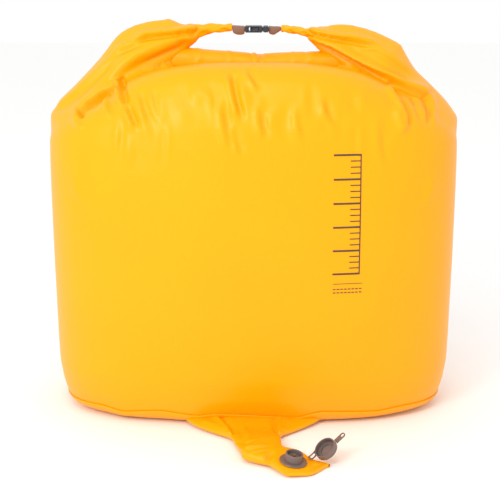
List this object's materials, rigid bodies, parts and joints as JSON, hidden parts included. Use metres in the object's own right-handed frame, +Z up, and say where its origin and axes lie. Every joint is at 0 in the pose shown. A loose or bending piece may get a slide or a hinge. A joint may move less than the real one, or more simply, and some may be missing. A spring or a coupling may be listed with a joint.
{
  "type": "roll-top compression sack",
  "caption": "Roll-top air-tight fabric sack with a twisted clip handle and a floor-level pump snout ending in a capped one-way valve.",
  "frame": {"origin": "centre of the flat base, on the surface the sack stands on", "axes": "+Z up from the base to the rolled mouth, -Y towards the snout, +X to the right seen from the snout side"},
  "size_m": [0.59, 0.4532, 0.567],
  "materials": {
    "coated_fabric": "thin coated ripstop, satin",
    "seam_tape": "translucent welded film",
    "hem_strip": "flexible polyurethane strip",
    "webbing": "woven narrow webbing",
    "buckle_acetal": "moulded acetal, glossy",
    "valve_polyurethane": "moulded flexible polyurethane, satin",
    "silicone": "soft silicone"
  },
  "bodies": {
    "bag": {"front_panel": "coated_fabric", "back_panel": "coated_fabric", "base_panel": "coated_fabric", "base_seam_tape": "seam_tape", "left_side_seam_tape": "seam_tape", "right_side_seam_tape": "seam_tape", "snout_funnel": "coated_fabric"},
    "top": {"mouth_roll": "coated_fabric", "hem_stiffener": "hem_strip", "left_roll_end": "coated_fabric", "right_roll_end": "coated_fabric"},
    "handle": {"left_handle_twist": "coated_fabric", "right_handle_twist": "coated_fabric", "left_buckle_loop": "webbing", "buckle_socket": "buckle_acetal"},
    "plug": {"buckle_plug": "buckle_acetal", "right_buckle_loop": "webbing"},
    "prong_front": {"buckle_prong_front": "buckle_acetal"},
    "prong_back": {"buckle_prong_back": "buckle_acetal"},
    "sleeve": {"snout_sleeve": "coated_fabric"},
    "nozzle": {"nozzle_pouch": "coated_fabric", "valve_flange": "valve_polyurethane", "valve_collar": "valve_polyurethane", "valve_grille": "valve_polyurethane", "flap_stud": "silicone"},
    "flap": {"valve_flap": "silicone"},
    "cap": {"valve_cap": "valve_polyurethane", "cap_gasket": "silicone", "cap_strap": "valve_polyurethane", "cap_pull_tab": "valve_polyurethane"}
  },
  "joints": [
    {"name": "press_down", "type": "slide", "parent": "bag", "child": "top", "axis": [0, 0, -1], "range_m": [0, 0.18], "stiffness_N_per_m": 20, "springref_m": -0.02, "deforming": ["front_panel", "back_panel", "left_side_seam_tape", "right_side_seam_tape"]},
    {"name": "handle_tilt", "type": "hinge", "parent": "top", "child": "handle", "pos_m": [0, 0, 0.5509], "axis": [1, 0, 0], "range_deg": [-35, 35]},
    {"name": "buckle_release", "type": "slide", "parent": "handle", "child": "plug", "axis": [1, 0, 0], "range_m": [0, 0.021], "deforming": ["right_handle_twist", "buckle_prong_front", "buckle_prong_back"]},
    {"name": "prong_front_squeeze", "type": "hinge", "parent": "plug", "child": "prong_front", "pos_m": [0.0129, -0.0068, 0.5565], "axis": [0, 0, -1], "range_deg": [0, 11], "stiffness_Nm_per_rad": 0.005},
    {"name": "prong_back_squeeze", "type": "hinge", "parent": "plug", "child": "prong_back", "pos_m": [0.0129, 0.0068, 0.5565], "axis": [0, 0, 1], "range_deg": [0, 11], "stiffness_Nm_per_rad": 0.005},
    {"name": "snout_lift", "type": "hinge", "parent": "bag", "child": "sleeve", "pos_m": [0.0035, -0.166, 0.0065], "axis": [-1, 0, 0], "range_deg": [0, 60]},
    {"name": "nozzle_lift", "type": "hinge", "parent": "sleeve", "child": "nozzle", "pos_m": [0.0125, -0.2225, 0.0065], "axis": [-0.7071, -0.7071, 0], "range_deg": [0, 45]},
    {"name": "flap_open", "type": "slide", "parent": "nozzle", "child": "flap", "axis": [0.1408, -0.0818, 0.9867], "range_m": [0, 0.0014]},
    {"name": "cap_close", "type": "hinge", "parent": "nozzle", "child": "cap", "pos_m": [0.07407, -0.26273, 0.01202], "axis": [0.4027, -0.9057, -0.1325], "range_deg": [0, 134]}
  ]
}
